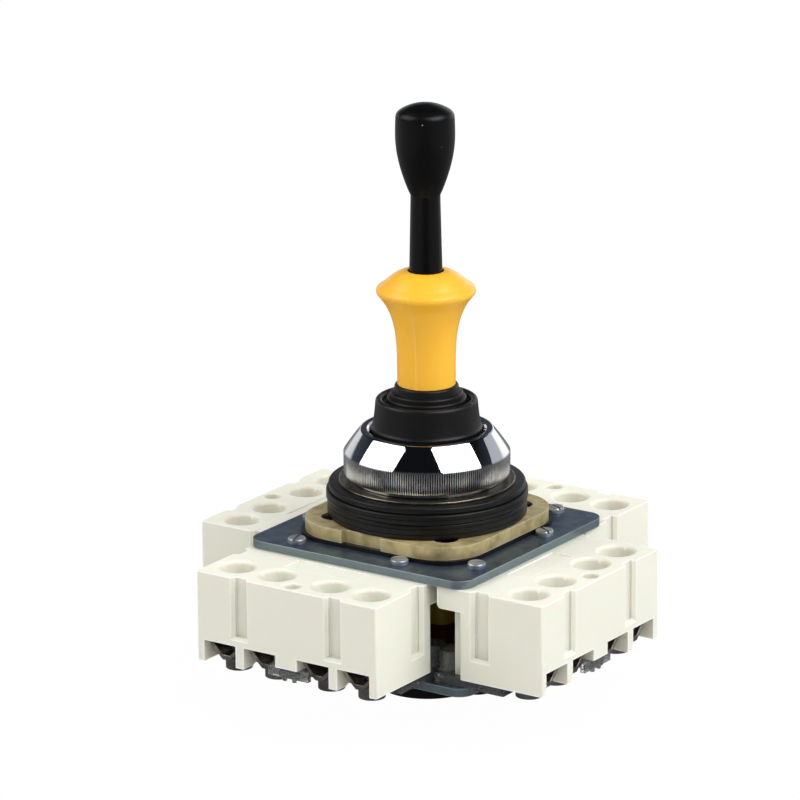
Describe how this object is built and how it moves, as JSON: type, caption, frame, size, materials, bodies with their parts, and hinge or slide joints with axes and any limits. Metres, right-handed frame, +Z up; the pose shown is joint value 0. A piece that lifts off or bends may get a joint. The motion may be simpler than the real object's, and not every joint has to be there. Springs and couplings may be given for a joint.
{
  "type": "industrial joystick",
  "caption": "Panel-mounted industrial joystick: a gimballed lever with a lift collar works crossed slides that drive a contact block on each side.",
  "frame": {"origin": "on the lever axis, at the underside of the base cup that the joystick stands on", "axes": "+Z up along the lever at rest; the contact blocks face -Y (front), +X (right), +Y (back) and -X (left)"},
  "size_m": [0.1006, 0.1006, 0.1387],
  "materials": {
    "grip_black": "moulded black plastic, satin",
    "stem_black": "smooth black plastic sleeve, glossy",
    "bright_steel": "turned or plated steel",
    "amber_plastic": "moulded amber yellow plastic, semi-gloss",
    "black_rubber": "moulded nitrile rubber, matte",
    "polished_chrome": "polished chrome plate",
    "zinc_casting": "zinc alloy die casting with an olive yellow passivation",
    "blue_zinc_plate": "zinc plated sheet steel, blue passivation",
    "guide_yellow": "moulded yellow plastic",
    "guide_red": "moulded dark red plastic",
    "ivory_plastic": "moulded ivory thermoset plastic, fine matte",
    "clear_plastic": "clear moulded polycarbonate",
    "nickel_plate": "nickel plated steel",
    "contact_brass": "brass strip",
    "black_plastic": "moulded black plastic"
  },
  "bodies": {
    "base": {"boot": "black_rubber", "bezel_ring": "polished_chrome", "clamp_washer": "bright_steel", "gasket_upper": "black_rubber", "gasket_middle": "black_rubber", "gasket_lower": "black_rubber", "head_body": "zinc_casting", "flange_screws": "grip_black", "flange_gasket": "black_rubber", "gimbal_pins": "bright_steel", "top_plate": "blue_zinc_plate", "plate_screws": "bright_steel", "upper_guide": "guide_yellow", "lower_guide": "guide_red", "centring_dish": "grip_black", "centring_spring": "bright_steel", "base_plate": "blue_zinc_plate", "base_cup": "grip_black", "base_screws": "grip_black", "housing_front": "ivory_plastic", "housing_right": "ivory_plastic", "housing_back": "ivory_plastic", "housing_left": "ivory_plastic", "cover_front": "clear_plastic", "cover_right": "clear_plastic", "cover_back": "clear_plastic", "cover_left": "clear_plastic", "saddles_front": "nickel_plate", "saddles_right": "nickel_plate", "saddles_back": "nickel_plate", "saddles_left": "nickel_plate", "terminal_screws_front": "nickel_plate", "terminal_screws_right": "nickel_plate", "terminal_screws_back": "nickel_plate", "terminal_screws_left": "nickel_plate", "terminal_bars_front": "contact_brass", "terminal_bars_right": "contact_brass", "terminal_bars_back": "contact_brass", "terminal_bars_left": "contact_brass"},
    "gimbal": {"gimbal_ring": "bright_steel", "cross_pin": "bright_steel"},
    "lever": {"lever_rod": "bright_steel", "lever_stem": "stem_black", "lever_hub": "bright_steel", "grip": "grip_black", "spring_ring": "bright_steel", "collar_spring": "bright_steel"},
    "collar": {"lift_collar": "amber_plastic"},
    "x_slide": {"slide_x": "bright_steel", "plunger_right": "black_plastic", "plunger_left": "black_plastic", "bridges_right": "contact_brass", "bridges_left": "contact_brass"},
    "y_slide": {"slide_y": "bright_steel", "plunger_front": "black_plastic", "plunger_back": "black_plastic", "bridges_front": "contact_brass", "bridges_back": "contact_brass"}
  },
  "joints": [
    {"name": "tilt_x", "type": "hinge", "parent": "base", "child": "gimbal", "pos_m": [0, 0, 0.0482], "axis": [1, 0, 0], "range_deg": [-12, 12], "stiffness_Nm_per_rad": 1, "deforming": ["boot"]},
    {"name": "tilt_y", "type": "hinge", "parent": "gimbal", "child": "lever", "pos_m": [0, 0, 0.0482], "axis": [0, 1, 0], "range_deg": [-12, 12], "stiffness_Nm_per_rad": 1, "deforming": ["boot"]},
    {"name": "lift", "type": "slide", "parent": "lever", "child": "collar", "axis": [0, 0, 1], "range_m": [0, 0.005], "stiffness_N_per_m": 600, "deforming": ["collar_spring"]},
    {"name": "x_travel", "type": "slide", "parent": "base", "child": "x_slide", "axis": [1, 0, 0], "range_m": [-0.00405, 0.00405]},
    {"name": "y_travel", "type": "slide", "parent": "base", "child": "y_slide", "axis": [0, 1, 0], "range_m": [-0.0048, 0.0048]}
  ],
  "couplings": [
    {"joint": "x_travel", "follows": "tilt_y", "m_per_rad": -0.0192},
    {"joint": "y_travel", "follows": "tilt_x", "m_per_rad": 0.0228}
  ]
}
